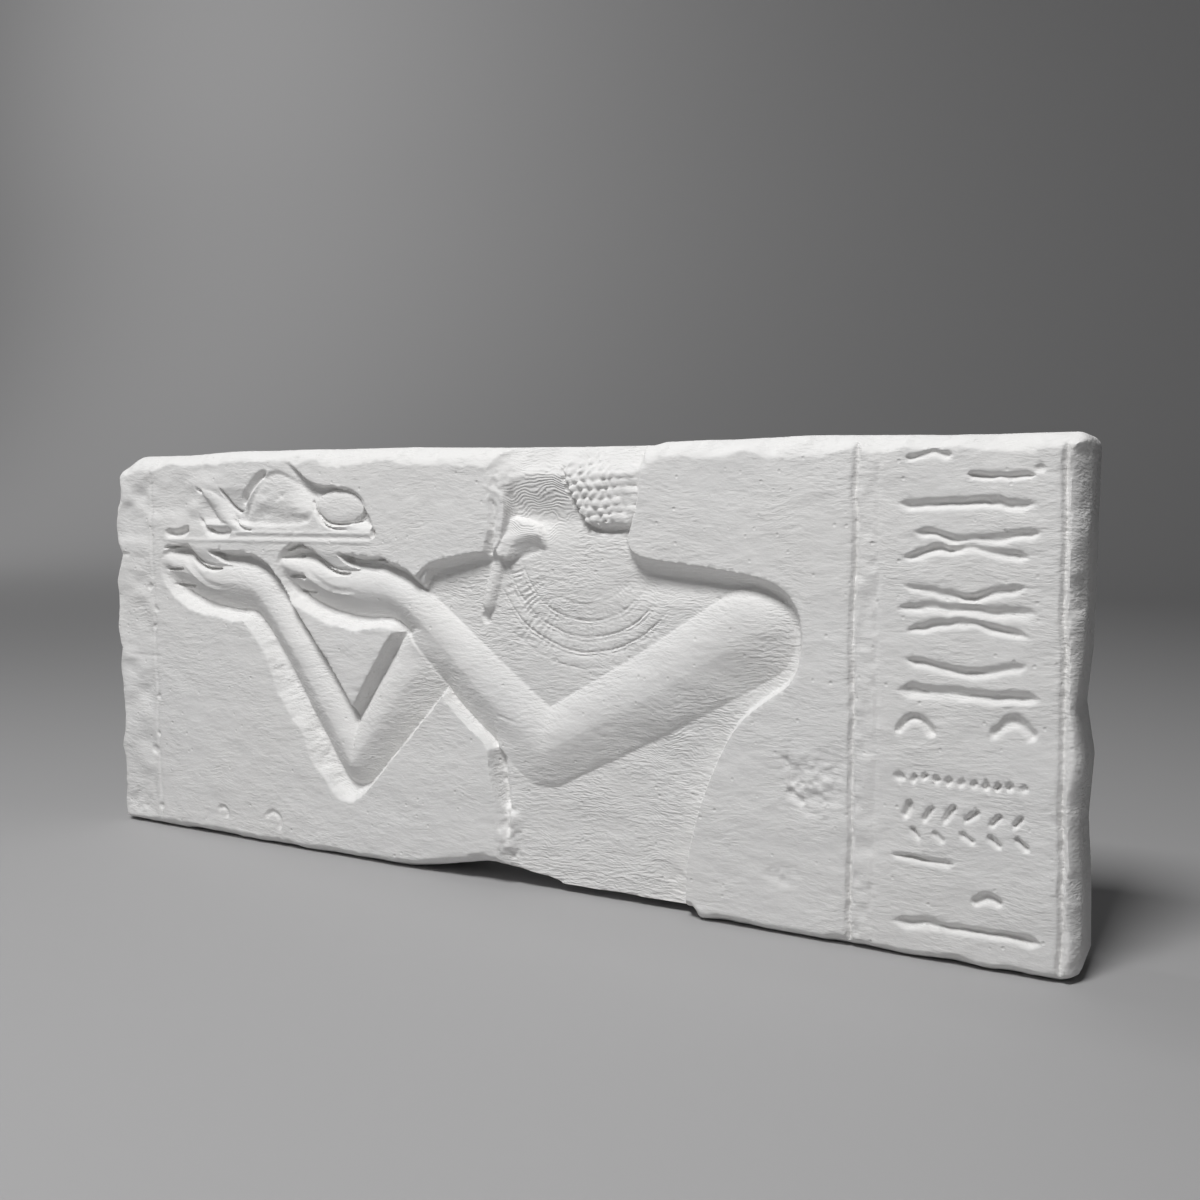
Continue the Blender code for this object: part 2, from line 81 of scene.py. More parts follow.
# distance outside a chain of round stations, share of the way across it, and which way that is
def limb(u, w, stations):
    outside = np.full(u.shape, 1e3)
    across = np.full(u.shape, 1e3)
    upward = np.zeros(u.shape)
    leftward = np.zeros(u.shape)
    for (x0, z0, r0), (x1, z1, r1) in zip(stations, stations[1:]):
        dx = x1 - x0
        dz = z1 - z0
        t = np.clip(((u - x0) * dx + (w - z0) * dz) / (dx * dx + dz * dz), 0.0, 1.0)
        radius = r0 + t * (r1 - r0)
        away = np.hypot(u - x0 - t * dx, w - z0 - t * dz)
        nearer = away - radius < outside
        upward = np.where(nearer, (w - z0 - t * dz) / np.maximum(away, 1e-6), upward)
        leftward = np.where(nearer, (x0 + t * dx - u) / np.maximum(away, 1e-6), leftward)
        outside = np.minimum(outside, away - radius)
        across = np.minimum(across, away / radius)
    return outside, across, upward, leftward


# a line with its corners cut off, twice over unless told otherwise
def softened(points, closed, rounds=2):
    line = np.array(points, float)
    for _ in range(rounds):
        following = np.roll(line, -1, axis=0)
        cut = np.empty((2 * len(line), line.shape[1]))
        cut[0::2] = 0.75 * line + 0.25 * following
        cut[1::2] = 0.25 * line + 0.75 * following
        line = cut if closed else np.vstack([line[0], cut[:-2], line[-1]])
    return line


# distance to a straight stretch, and the share of it where the nearest point lies
def nearest(u, w, start, end):
    dx = end[0] - start[0]
    dz = end[1] - start[1]
    t = np.clip(((u - start[0]) * dx + (w - start[1]) * dz) / (dx * dx + dz * dz), 0.0, 1.0)
    return np.hypot(u - start[0] - t * dx, w - start[1] - t * dz), t


# which places lie near enough to a line to need its distance
def window(u, w, points, reach):
    low = points.min(axis=0) - reach
    high = points.max(axis=0) + reach
    return (u > low[0]) & (u < high[0]) & (w > low[1]) & (w < high[1])


# distance inside an outline, below zero outside it
def within(u, w, points, rounds=2):
    line = softened(points, True, rounds)
    reach = 8.0
    result = np.full(u.shape, -reach)
    part = window(u, w, line, reach)
    uu = u[part]
    ww = w[part]
    best = np.full(uu.shape, reach)
    inside = np.zeros(uu.shape, bool)
    for start, end in zip(line, np.roll(line, -1, axis=0)):
        best = np.minimum(best, nearest(uu, ww, start, end)[0])
        rise = end[1] - start[1]
        if abs(rise) > 1e-9:
            crosses = (start[1] > ww) != (end[1] > ww)
            inside ^= crosses & (uu < start[0] + (ww - start[1]) * (end[0] - start[0]) / rise)
    result[part] = np.where(inside, best, -best)
    return result


# distance to an open line, and the share of its length where the nearest point lies
def offLine(u, w, points, reach=8.0):
    line = softened(points, False)
    lengths = np.hypot(*np.diff(line, axis=0).T)
    whole = lengths.sum()
    distance = np.full(u.shape, reach)
    place = np.zeros(u.shape)
    part = window(u, w, line, reach)
    uu = u[part]
    ww = w[part]
    best = np.full(uu.shape, reach)
    where = np.zeros(uu.shape)
    run = 0.0
    for start, end, length in zip(line, line[1:], lengths):
        away, t = nearest(uu, ww, start, end)
        nearer = away < best
        best = np.where(nearer, away, best)
        where = np.where(nearer, (run + t * length) / whole, where)
        run += length
    distance[part] = best
    place[part] = where
    return distance, place


# 1 along the middle of a groove that thins out at its ends, 0 beside it
def furrow(u, w, points, width, thin=0.2):
    distance, place = offLine(u, w, points, width)
    full = ease(np.minimum(place, 1.0 - place) / thin)
    return full * ease(1.0 - distance / (0.5 * width * (0.3 + 0.7 * full)))


# 1 at the floor and 0 at the lip, with a crisp lip or a worn one
def wallFall(t, worn=0.0):
    t = np.clip(t, 0.0, 1.0)
    crisp = 1.0 - t ** 1.6
    return crisp + (1.0 - ease(t) - crisp) * worn


# lets a form stand up out of the carving by the given share, and never sinks it
def stand(depth, form, share):
    return depth + (np.minimum(form, depth) - depth) * share


arms = {
    # place, height and half width along each hand to the middle of its forearm, then along the arm
    "farHand": [(-125.5, 86.2, 3.4), (-119.5, 84.4, 6.4), (-109, 81.2, 7.6), (-98, 80.6, 8.1),
                (-89.5, 79.8, 7.6), (-83.2, 72.6, 6.1), (-73.8, 60.6, 6.7)],
    "farArm": [(-59.6, 40, 7.3), (-52.4, 28.6, 6.9), (-27, 61, 10.0)],
    "nearHand": [(-76.6, 86.4, 3.2), (-71, 84.6, 6.0), (-61, 81.3, 7.4), (-49, 79.8, 8.0),
                 (-39, 79.9, 7.2), (-30, 75.2, 6.3), (-10.6, 56.9, 9.6)],
    "nearArm": [(12.8, 37.9, 10.1), (44, 55.2, 10.9), (71.5, 72.3, 12)],
    "edgeDepth": 4.5,
    "crownDepth": 0.55,
    "groundDepth": 0.3,      # how far the whole worn face lies below the slab's front
    "lowerDeeper": 0.14,     # how much deeper the lower edge of a limb lies, as a share
    "wall": 2.1,             # width of a crisp wall
    "wornWall": 3.4,         # and how much wider it is where it crumbled
}


# A limb is a rounded form from its crown down to its edge, and a wall falls to it from the face.
# battered: how worn the wall below the limb is; over: where it crosses the other arm;
# starts: where along the length its upper and its lower edge begin to lie on the chest
def layLimb(depth, u, w, stations, edge, top, battered, over=0.0, starts=None):
    outside, across, upward, leftward = limb(u, w, stations)
    below = ease(0.2 - upward * 1.6)
    edge = edge * (1 + arms["lowerDeeper"] * below)
    if starts is not None:
        lies = ease((u - starts[0]) / 4 + 0.5) * ease(upward * 3 + 0.5)
        lies = lies + ease((u - starts[1]) / 2 + 0.5) * ease(0.5 - upward * 3)
        edge = edge + (np.minimum(edge, torsoFloor(u, w) + 0.05) - edge) * lies
        edge = edge + (np.minimum(edge, depth + 0.5) - edge) * over
    swell = np.clip(1.0 - across ** (2.0 - 0.6 * ease(0.5 - 2 * upward)), 0.0, 1.0)
    form = edge - (edge - top) * (0.2 * np.sqrt(swell) + 0.8 * swell)
    form = form - 0.6 * swell * np.minimum(across, 1) * upward
    worn = below * ease(0.6 + leftward) * battered
    reach = arms["wall"] * (1.3 - 0.15 * below) * (0.5 + 0.5 * ease(edge / 4))
    reach = reach + arms["wornWall"] * worn * (1 + 0.3 * noise(u, w, 7, 102))
    crumbled = outside + (0.3 + 0.3 * worn) * noise(u, w, 3.4, 101)
    crumbled = crumbled + (0.1 + 0.15 * worn) * noise(u, w, 1.3, 103)
    cut = edge * wallFall(crumbled / reach, 0.8 * worn) * (1 - over)
    ground = np.maximum(depth, cut)
    return form + (ground - form) * ease(outside + 0.5)


torso = {
    "outline": [(-1, 132), (-1, 115), (0.6, 109), (1.6, 104), (0.6, 98), (-0.6, 94), (-3, 92),
                (-7, 92.2), (-12, 91.5), (-20, 90), (-25.5, 87.8), (-29.5, 84), (-32, 79),
                (-31, 74), (-20, 65), (-10, 57), (-3, 51), (-2.4, 45), (-4.4, 38), (-4, 30),
                (-1.5, 23), (0, 16), (-3.5, 8), (-4, -8), (56, -8), (55.7, 10), (58, 24), (63, 38),
                (69, 50), (77, 56.8), (84, 61.5), (86.4, 70), (85.7, 79), (81, 85.4), (72, 88),
                (60, 89.6), (48, 90.9), (41.6, 92), (38.8, 95), (39.6, 98.4), (41.6, 104),
                (43, 112), (43.6, 120), (44, 132)],
    "flap": [(-33.6, 82.4), (-32.4, 86.6), (-27.6, 89.8), (-24.4, 87.4), (-25.8, 82.8),
             (-28.0, 80.4)],
    "pit": [(-4.6, 107.0), (-2.4, 108.2), (0.4, 106.0), (0.8, 101.5), (-0.8, 97), (-1.2, 87),
            (-6.8, 88), (-6.4, 93), (-4.8, 97), (-4.6, 103)],
    "rim": [(-7, 110.8), (-3.4, 109.7), (0.4, 108), (1.7, 104.4), (1.4, 101.8)],
    "crackLine": [(-2.2, 47), (-1.6, 36), (-1.2, 30), (0.0, 22), (1.6, 10)],
    "crackWidth": 5.0,
    "crackDepth": 2.6,
    "waistDepth": 4.9,
    "chestDepth": 3.2,       # and a little less over the collar
    "neckDepth": 1.8,        # at the broken top
    "pitDepth": 1.2,
    "wall": 2.0,             # width of the wall around the figure
}


# depth of the sunk figure: chest, waist and neck, each running into the next
def torsoFloor(u, w):
    chest = torso["chestDepth"] + 1.4 * ease((2 - u) / 26) + 0.6 * ease((u - 34) / 40)
    chest = chest - 0.5 * np.exp(-(((u - 22) / 20) ** 2 + ((w - 84) / 12) ** 2))
    chest = chest + 1.3 * ease((u - 34) / 10) * ease((w - 78) / 9)
    waist = torso["waistDepth"] - 0.7 * np.exp(-(((u - 32) / 17) ** 2))
    neck = torso["neckDepth"] + 2.9 * ease((114 - w) / 14) * (0.7 + 0.3 * ease((20 - u) / 8))
    floor = waist + (chest - waist) * ease((w - 38) / 22)
    floor = floor + (neck - floor) * ease((w - 95) / 7)
    return floor - 2.2 * ease((22 - u) / 20) * ease((46 - w) / 10)


def carveTorso(depth, u, w):
    inside = within(u, w, torso["outline"])
    floor = torsoFloor(u, w)

    # the wall is wider along the shoulders, by the broken top and at the crumbled foot,
    # and narrower beside the crack
    shoulder = (0.8 + 1.8 * ease((u - 38) / 4)) * ease((w - 78) / 8) * ease((95 - w) / 4)
    wall = torso["wall"] + shoulder - 0.6 * ease((76 - w) / 10)
    wall = wall + 4.0 * ease((w - 107) / 6) * ease((12 - u) / 4)
    wall = wall + 5.0 * ease((14 - u) / 5) * ease((23 - w) / 5)
    wall = wall - 0.5 * ease((10 - u) / 4) * ease((42 - w) / 5) * ease((w - 18) / 5)
    worn = ease((24 - w) / 8)
    sunk = np.maximum(depth, floor * wallFall(1 - inside / wall, worn))
    depth = np.where(inside > 0, sunk, depth)
    rough = 0.5 * noise(u, w, 1.6, 5) + 0.35 * noise(u, w, 0.9, 6)

    # the broken left edge of the waist and its crack
    broken = 1.3 * ease((7 - u) / 4) * ease((u + 3) / 3)
    broken = broken * (0.15 + 0.85 * ease((25 - w) / 6)) * ease((40 - w) / 6)
    crumbs = 0.6 * noise(u, w, 2.6, 7) + 0.4 * noise(u, w, 1.3, 6)
    depth = depth + broken * (0.6 * crumbs - 0.2)
    crack = torso["crackDepth"] * furrow(u, w, torso["crackLine"], torso["crackWidth"])
    depth = depth + crack * ease((u + 4.5) / 2) * (1 + 0.2 * rough)

    # the small flap by the wrist, then the broken pit beside the neck
    flap = within(u, w, torso["flap"])
    leaning = 0.5 + 0.24 * np.clip(90 - w, 0, 9)
    depth = stand(depth, leaning, ease(flap + 0.4))
    pit = within(u, w, torso["pit"])
    hollow = torso["pitDepth"] + 1.1 * ease((106 - w) / 14) + 0.25 * rough
    depth = np.maximum(depth, hollow * ease(pit / 3.0 + 0.1 * rough))
    rim = furrow(u, w, torso["rim"], 2.4, 0.3)
    depth = depth - np.minimum(depth, 1.5) * rim
    above = ease((u + 7) / 4) * ease((6 - u) / 4) * ease((w - 102) / 4)
    return depth + above * (0.2 * noise(u, w, 1.9, 51) + 0.15 * noise(u, w, 0.9, 52))


lappet = {
    "outline": [(18.6, 118), (20.3, 110), (23.6, 103.6), (26.0, 99.6), (30, 97.9), (37.2, 97.9),
                (40, 100), (46, 116), (46, 126), (18.6, 126)],
    "under": [(25.6, 100), (28, 98.3), (32, 97.7), (38.2, 98.3)],
    "rowPitch": 2.2,
    "curlPitch": 2.6,
    "baseDepth": 1.95,
    "curlHeight": 0.95,
    "underDepth": 1.2,
}


# the end of the curled hair: rows of curls on the left that run smooth towards the right
def carveLappet(depth, u, w):
    inside = within(u, w, lappet["outline"])
    sway = 0.7 * noise(u, w, 5, 61) + 0.2 * noise(u, w, 2.0, 63)
    phase = (w - 0.1 * (u - 20) + sway) / lappet["rowPitch"]
    row = np.floor(phase)
    across = phase - row
    bump = np.sqrt(np.clip(1 - (2 * across - 1) ** 2, 0, 1))
    smooth = ease((u - 31) / 6)
    shift = 0.42 * row + 0.35 * noise(row * 7.3, row * 0 + 3, 1, 62)
    beat = u / lappet["curlPitch"] + shift + 0.3 * noise(u, w, 3.4, 64)
    curl = 0.63 + 0.37 * np.cos(2 * math.pi * beat) * (1 - 0.7 * smooth)
    form = lappet["baseDepth"] + 0.7 * ease((w - 113) / 7) + 0.35 * noise(u, w, 2.2, 9)
    form = form - lappet["curlHeight"] * bump * curl * (1 - 0.35 * smooth)
    scallop = np.cos(2 * math.pi * (w / lappet["rowPitch"] + 0.3))
    edge = inside + 0.32 * scallop * (1 - smooth)
    form = form + 3.0 * ease((100.6 - w) / 2.6) * ease((40.5 - u) / 3)
    form = np.minimum(form, np.maximum(depth, 1.0))
    depth = stand(depth, form, ease(edge / 0.7))
    left = ease(1 - np.abs(edge + 0.6) / 0.9) * ease((30 - u) / 4)
    left = left * ease((w - 99) / 2) * ease((116 - w) / 3)
    return depth + left + lappet["underDepth"] * furrow(u, w, lappet["under"], 2.0)


collar = {
    "centre": (25.4, 93.3),
    "radii": (14.7, 19.2, 20.3, 23.4, 24.4, 27.4, 28.4, 31.8),
    "grooves": (0.25, 0.45, 0.25, 0.42, 0.25, 0.5, 0.3, 0.3),
    "grooveWidth": 0.5,
    "hatchCount": 15,        # slanting strokes for each radian round the collar
    "hatchDepth": 0.26,
}


def carveCollar(depth, u, w):
    across = u - collar["centre"][0]
    down = w - collar["centre"][1]
    away = np.hypot(across / 1.05, down) + 0.25 * noise(u, w, 4, 8)
    angle = np.arctan2(down, across)
    shown = ease((92 - w) / 6) * ease((u + 2) / 4)
    shown = shown * ease(depth - 1.5) * ease((47 - u + 82 - w) / 12)
    worn = 0.75 + 0.5 * noise(u, w, 5, 71)
    for radius, groove in zip(collar["radii"], collar["grooves"]):
        kept = 1.0 if radius > 16 else ease((u - 17) / 4)
        beside = np.abs(away - radius) / collar["grooveWidth"]
        depth = depth + shown * worn * kept * groove * ease(1 - beside)
    slant = 2 * math.pi * angle * collar["hatchCount"] + 1.8 * noise(u, w, 3, 3) + 0.25 * away
    band = ease((away - 12) / 2) * ease((32 - away) / 3)
    left = 0.5 + 0.9 * ease((18 - u) / 8)
    hatched = shown * band * left * collar["hatchDepth"]
    hatched = hatched * (np.sin(slant) * 0.5 + 0.5) * (0.6 + 0.9 * noise(u, w, 2.4, 72))
    return depth + hatched


strap = {
    "band": [(-0.6, 97.5, 2.3), (-1.0, 92, 2.2), (-2.4, 87, 2.2), (-4.2, 82, 2.4),
             (-5.4, 77.4, 2.2)],
    "block": [(-0.6, 101.8), (4, 101.3), (8, 100.5), (11.2, 99.4), (13.0, 96.2), (13.4, 93.6),
              (12, 92.8), (7, 91.4), (2.4, 90.2), (-1.2, 90.4), (-1.2, 96)],
    "rim": [(14.2, 95.4), (12.4, 96.8), (9, 96.9), (6, 96), (3.6, 94.4), (2.4, 92.4), (2.0, 89.8)],
    "shade": [(14.6, 95.6), (12.6, 97), (9, 97.1), (5.8, 96.2), (3.4, 94.5), (2.2, 92.4),
              (1.8, 89.4), (6, 90), (12.5, 91.8)],
    "cast": [(2.0, 90.2), (5, 90.8), (8.5, 91.8), (13.4, 93.8)],
    "hole": [(-8.6, 74.6), (-6.2, 73.6), (-4.6, 72.0)],
    "blockDepth": 0.9,
    "bandHeight": 0.9,       # at its top, and twice that at its lower end
    "castDepth": 0.35,
    "holeDepth": 1.0,
}


# the broken block at the throat and the narrow band that hangs from it
def carveStrap(depth, u, w):
    block = within(u, w, strap["block"])
    shade = within(u, w, strap["shade"])
    away = offLine(u, w, strap["rim"])[0]
    tilt = strap["blockDepth"] + 0.3 * np.clip(away - 0.4, 0, 6) * ease((w - 95) / 3)
    form = tilt + (1.0 + 0.6 * away - tilt) * ease((shade + 0.4) / 0.9)
    depth = stand(depth, form, ease(block + 0.5))
    depth = depth + strap["castDepth"] * furrow(u, w, strap["cast"], 2.6)
    across = limb(u, w, strap["band"])[1]
    raised = strap["bandHeight"] + strap["bandHeight"] * ease((92 - w) / 14)
    depth = depth - raised * np.clip(1 - across ** 2, 0, 1) * ease((96 - w) / 6)
    return depth + strap["holeDepth"] * furrow(u, w, strap["hole"], 4.2, 0.45)


hands = {
    # outline of each raised thumb
    "thumbs": [
        [(-119, 94), (-107.6, 94), (-106.6, 90.4), (-104.4, 88.4), (-101, 86.9), (-98.5, 86.4),
         (-104, 86.2), (-109, 86.6), (-112.6, 88.2), (-115, 90.6), (-117, 93)],
        [(-69, 95), (-55.6, 94), (-56.4, 90.6), (-54.4, 88.2), (-51, 87), (-48.5, 86.2),
         (-53, 86), (-58, 86.4), (-61.5, 88.2), (-64.6, 90.4), (-67, 92.6)],
    ],
    # line, width and depth of each dark cut over a thumb and a palm
    "gaps": [
        ([(-128.5, 91), (-124.5, 92), (-120.6, 92.2), (-118, 91), (-115.4, 88.4),
          (-112.6, 86.3), (-109.2, 85.2), (-105, 85.1), (-100.5, 85.8)], 2.1, 3.4),
        ([(-127, 90), (-123, 90.4), (-119.5, 90.6), (-117, 88.6)], 3.4, 2.0),
        ([(-108.8, 90.8), (-104.6, 89.6), (-99, 88.9), (-94, 89), (-90.6, 89.2)], 2.4, 4.6),
        ([(-79.5, 90.4), (-76, 91.6), (-73.2, 92.9), (-70.6, 92.8), (-67.2, 90.6),
          (-64.4, 88.4), (-61.4, 86.2), (-58, 84.9), (-54, 84.7), (-49.5, 85.3)], 2.1, 3.4),
        ([(-57.6, 90.8), (-53.8, 89.4), (-50, 88.7), (-46, 88.8), (-41, 89.2), (-37.6, 88.4)],
         2.3, 4.6),
    ],
    # line, width and depth of each cut between two fingers
    "fingers": [
        ([(-127.6, 85), (-124, 84.8), (-118.6, 84.8)], 1.7, 1.5),
        ([(-125.6, 79.8), (-121, 79.6), (-115, 79.6)], 1.7, 1.5),
        ([(-77, 83.7), (-73.4, 84.1), (-68.4, 83.4)], 2.2, 2.0),
        ([(-75.6, 79.1), (-71, 79), (-65.4, 79.1)], 1.5, 1.2),
        ([(-79.2, 89.3), (-75, 89.2), (-70.4, 89.6)], 1.4, 1.2),
    ],
    # the fold across each palm
    "palms": [
        [(-121, 87.8), (-117, 85), (-114.4, 82.8), (-111.6, 80.6), (-108.4, 79), (-101, 78.2)],
        [(-71, 84.8), (-68, 83.6), (-65.4, 81.8), (-62, 80), (-58.6, 79), (-49, 78.5)],
    ],
    "gapSpread": 1.25,
    "palmDepth": 0.26,
    "palmRidge": 0.25,
}


def carveHands(depth, u, w):
    for outline in hands["thumbs"]:
        shape = within(u, w, outline)
        form = 0.25 + 1.2 * ease((92 - w) / 6)
        depth = stand(depth, form, ease(shape / 0.8 + 0.4))
    for line, width, deep in hands["gaps"]:
        depth = np.maximum(depth, deep * furrow(u, w, line, width * hands["gapSpread"], 0.16))
    for line, width, deep in hands["fingers"]:
        depth = depth + deep * furrow(u, w, line, width)
    for line in hands["palms"]:
        behind = [(x + 1.3, z + 1.1) for x, z in line]
        depth = depth + hands["palmDepth"] * furrow(u, w, behind, 2.4)
        depth = depth - hands["palmRidge"] * furrow(u, w, line, 1.0)
    return depth


offerings = {
    "lump": [(-95.5, 98.6), (-93.6, 102.4), (-90.6, 107), (-87.4, 111.4), (-84.2, 114.6),
             (-80, 116.0), (-76, 115.2), (-70, 111.8), (-65.4, 109.6), (-64.4, 106), (-65, 101),
             (-68, 98.6), (-80, 97.8)],
    "hollow": [(-92.4, 98.6), (-88.4, 103.2), (-84, 104.4), (-77, 103.2), (-70, 101.6),
               (-64.8, 102.2), (-64.6, 98.8), (-70, 97.9), (-84, 97.7)],
    "loafCentre": (-56, 104.5),
    "loafHalves": (8.9, 5.2),
    "loafDepth": 0.8,
    "loafGroove": 0.9,       # depth of the groove around the loaf
    "grooveReach": 1.22,     # and how far out it goes, in halves of the loaf
    "bagDepth": 2.9,
    "basinDepth": 1.7,
    "hook": [(-109.6, 109.4, 1.8), (-106.6, 107.8, 3.1), (-103.4, 104.6, 3.5),
             (-100.8, 101.2, 3.2), (-97.2, 98.4, 1.9)],
    # line, width and depth
    "grooves": [
        ([(-103.2, 110.8), (-101, 108.2), (-99.2, 105.6), (-97.4, 103.9), (-95.2, 102.9),
          (-93.6, 103.2)], 1.8, 1.6),
        ([(-94.6, 104.4), (-92.2, 107.6), (-89.8, 110.6), (-86.6, 113.4), (-82.6, 115.6)],
         3.8, 1.7),
        ([(-98.4, 101.4), (-96.2, 99.3), (-93, 97.6), (-89, 97.2)], 1.3, 1.0),
        ([(-127, 97), (-124.8, 96), (-121.2, 95.8), (-118, 96.6), (-116, 98.8)], 4.0, 1.8),
        ([(-110, 98.8), (-107.4, 96.8), (-102.4, 96.4), (-97.6, 97.3)], 4.4, 1.9),
        ([(-112, 101.6), (-110.4, 99.4), (-108.4, 97.4), (-106, 96.6)], 1.8, 1.0),
        ([(-112.8, 110.2), (-111, 109.4), (-109.6, 109)], 1.6, 0.8),
        ([(-65.2, 105.6), (-64.4, 102.4), (-61.6, 99), (-57, 97.8), (-51, 98)], 1.0, 0.9),
        ([(-64.6, 104.6), (-63, 101.6), (-60.2, 99.6), (-55.4, 99.2), (-50, 99.8), (-46.2, 101)],
         1.3, 1.2),
        ([(-66.6, 106.6), (-65.4, 104.8), (-65.2, 102.6)], 1.3, 0.9),
        ([(-43.4, 98.4), (-43.2, 96.8), (-43.6, 95.2)], 2.0, 1.5),
    ],
    # the deep right edge of what lies on the tray
    "bagEdge": [(-76, 118.6), (-71.4, 115.8), (-67.2, 112.4), (-63, 111), (-58, 110.9),
                (-53, 109.8), (-48.6, 107), (-44.9, 103), (-43.0, 98.6), (-43.4, 95)],
    "bagBack": [(-60, 85), (-90, 95), (-95, 128)],
    "handsBelow": [(-129, 90), (-120, 93.4), (-114, 92.4), (-70, 95), (-60, 92), (-30, 84),
                   (-90, 84)],
    # left end, right end, lower and upper edge of the tray
    "tray": (-128.0, -43.6, 91.8, 97.4),
    "trayDepth": 0.38,
    # height, half width and depth of the seam along the tray
    "seam": (95.45, 0.7, 0.22),
    # height, left end, half width and rise of the bright rails along the tray
    "rails": [(94.2, -128, 0.9, 0.3), (96.7, -97, 0.7, 0.3)],
}


# the rounded heap in the middle of the tray and the low ground left of it
def carveHeap(depth, u, w):
    lump = within(u, w, offerings["lump"])
    hollow = ease((within(u, w, offerings["hollow"]) + 2.6) / 5.2)
    rough = 0.16 * noise(u, w, 2.4, 11, 1.6) + 0.1 * noise(u, w, 1.1, 12, 1.6)
    fall = 1.5 * ease((-85 - u) / 8) * ease((113 - w) / 6)
    top = 0.3 + 0.06 * (w - 106) + (0.8 + 0.5 * ease((-74 - u) / 10)) * hollow
    top = top + 1.3 * rough * ease((111 - w) / 4)
    top = np.maximum(top, fall) + 0.35 * ease((3.2 - lump) / 3.2) * ease((-63 - u) / 3)
    around = ease(1 + lump / 2.6) * ease((-64 - u) / 2)
    basin = ease((u + 114) / 8) * ease((-90 - u) / 4)
    basin = basin * ease((113 - w) / 9) * ease((w - 98.2) / 3)
    ground = offerings["basinDepth"] * basin + 0.3 * around * ease((w - 108) / 6)
    depth = np.maximum(depth, ground)
    raised = depth + (np.maximum(top, 0) - depth) * ease(lump / 1.6)
    return np.where(lump > 0, raised, depth)


# the deep curved side at the right end of the tray, with the oval loaf before it
def carveLoaf(depth, u, w):
    away = offLine(u, w, offerings["bagEdge"], 12.0)[0]
    inside = within(u, w, [*offerings["bagEdge"], *offerings["bagBack"]]) > 0
    deep = offerings["bagDepth"]
    cut = deep * ease(away / 1.2) - deep * ease((away - 0.8) / 9)
    depth = depth + inside * cut * ease((u + 76) / 6) * ease((w - 97.6) / 3)
    x, z = offerings["loafCentre"]
    halfWide, halfHigh = offerings["loafHalves"]
    across = np.hypot((u - x) / halfWide, (w - z) / halfHigh)
    groove = offerings["loafGroove"] * ease((offerings["grooveReach"] - across) / 0.2)
    depth = np.maximum(depth, groove * ease((w - 97.4) / 1.5))
    loaf = offerings["loafDepth"] + 0.09 * (w - z) + 1.0 * np.clip(across, 0, 1) ** 4
    return np.where(across < 1, loaf, depth)


# the level bar of the tray, left out where the hands reach over it, with its two bright rails
def carveTray(depth, u, w):
    start, end, low, high = offerings["tray"]
    high = high - 2.3 * ease((-95 - u) / 2)
    bar = ease((u - start) / 2) * ease((end - u) / 1.2)
    bar = bar * ease((w - low) / 0.8) * ease((high - w) / 0.7)
    bar = bar * ease(1 - within(u, w, offerings["handsBelow"], 1))
    depth = stand(depth, offerings["trayDepth"], bar)
    height, wide, deep = offerings["seam"]
    depth = depth + deep * bar * ease(1 - np.abs(w - height) / wide)
    for height, left, wide, raised in offerings["rails"]:
        rail = ease(1 - np.abs(w - height) / wide) * ease((u - left) / 2) * ease((end - u) / 1.2)
        depth = depth - np.minimum(raised * rail, depth)
    return depth


def carveOfferings(depth, u, w):
    depth = carveHeap(depth, u, w)
    depth = carveLoaf(depth, u, w)
    across = limb(u, w, offerings["hook"])[1]
    ridge = 0.05 + 1.7 * np.clip(across, 0, 1) ** 2
    depth = np.where(across < 1, np.minimum(depth, ridge), depth)
    for line, width, deep in offerings["grooves"]:
        depth = depth + deep * furrow(u, w, line, width)
    return carveTray(depth, u, w)


column = {
    # height, left end, right end, bow, width
    "strokes": [
        (115.4, 110, 121, 0.6, 2.4), (111.4, 124, 139, -0.5, 2.2),
        (104.6, 108.5, 139.5, 0.2, 3.4), (98.9, 112, 141, -1.2, 3.0),
        (92.4, 109.5, 138.5, 1.7, 3.2), (86.6, 109.5, 138.5, -1.7, 3.0),
        (80.8, 108, 141, 0.2, 3.4), (75.4, 110, 139, 1.8, 3.0), (69.2, 110, 139, -1.6, 3.0),
        (61.8, 108.5, 141.5, 0, 4.4), (51.4, 108.5, 118.5, 2.6, 3.4),
        (52.4, 130.5, 140.5, 2.6, 3.4), (22.6, 108, 124, 0, 2.4),
        (14, 127, 134, 1.0, 2.8), (7, 108.5, 143.5, 0.2, 3.4),
    ],
    # height, left end, right end, count, lean
    "dashes": [(41.6, 109, 140, 11, 0.8), (33.6, 110, 140, 6, 2.2), (28.4, 111.5, 141, 5, -1.6)],
    # place at the foot, lean with height, depth, half width
    "rules": [(-131.4, -0.013, 0.32, 1.2), (98.7, 0.0, 1.5, 1.15), (104.4, 0.0, 0.3, 1.1),
              (146.6, -0.011, 1.6, 1.15)],
    "strokeDepth": 1.5,
}


